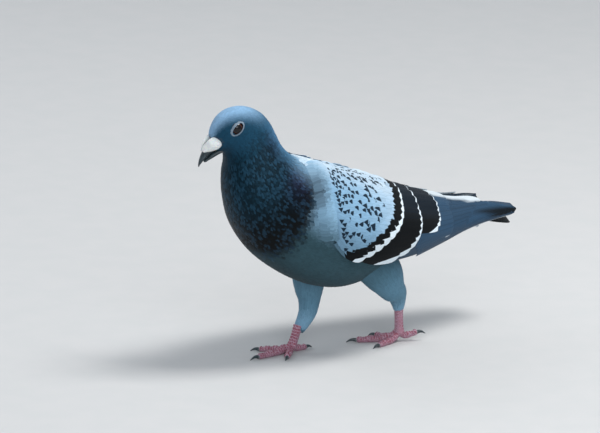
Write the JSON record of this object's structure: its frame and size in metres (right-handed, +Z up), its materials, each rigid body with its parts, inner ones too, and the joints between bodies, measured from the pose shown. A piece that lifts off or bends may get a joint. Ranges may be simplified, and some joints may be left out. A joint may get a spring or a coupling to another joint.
{
  "type": "pigeon",
  "caption": "Walking blue-chequered homing pigeon as a still life-size model, with folded wings, closed tail and head turned slightly aside.",
  "frame": {"origin": "middle of the bottom of the bounding box, at the level the feet stand on", "axes": "+Z up, -Y the way the body faces, +X the bird's left side"},
  "size_m": [0.099, 0.2808, 0.1979],
  "materials": {
    "head_feathers": "slate blue-grey contour feathers, soft matt",
    "neck_feathers": "dark teal hackle feathers with a green and violet gloss",
    "body_feathers": "blue-grey down and contour feathers, soft matt",
    "wing_coverts": "pale ash-grey coverts with black checks and dark bars",
    "flight_feathers": "dark slate flight and tail feathers with darker tips",
    "thigh_feathers": "blue-grey down, soft matt",
    "bill": "blackish horn, satin",
    "cere": "powdery white skin, matt",
    "eye": "dark pupil in a red-brown iris under a clear wet cornea",
    "leg_scales": "pink to crimson scaly skin, satin",
    "claw": "blackish horn, satin"
  },
  "bodies": {
    "root": {"head": "head_feathers", "neck": "neck_feathers", "trunk": "body_feathers", "tail": "flight_feathers", "upper_bill": "bill", "lower_bill": "bill", "left_cere": "cere", "left_eye": "eye", "left_wing": "wing_coverts", "left_primaries": "flight_feathers", "left_thigh": "thigh_feathers", "left_shank": "leg_scales", "left_hallux": "leg_scales", "left_hallux_claw": "claw", "left_inner_toe": "leg_scales", "left_inner_toe_claw": "claw", "left_middle_toe": "leg_scales", "left_middle_toe_claw": "claw", "left_outer_toe": "leg_scales", "left_outer_toe_claw": "claw", "right_cere": "cere", "right_eye": "eye", "right_wing": "wing_coverts", "right_primaries": "flight_feathers", "right_thigh": "thigh_feathers", "right_shank": "leg_scales", "right_hallux": "leg_scales", "right_hallux_claw": "claw", "right_inner_toe": "leg_scales", "right_inner_toe_claw": "claw", "right_middle_toe": "leg_scales", "right_middle_toe_claw": "claw", "right_outer_toe": "leg_scales", "right_outer_toe_claw": "claw"}
  },
  "joints": []
}
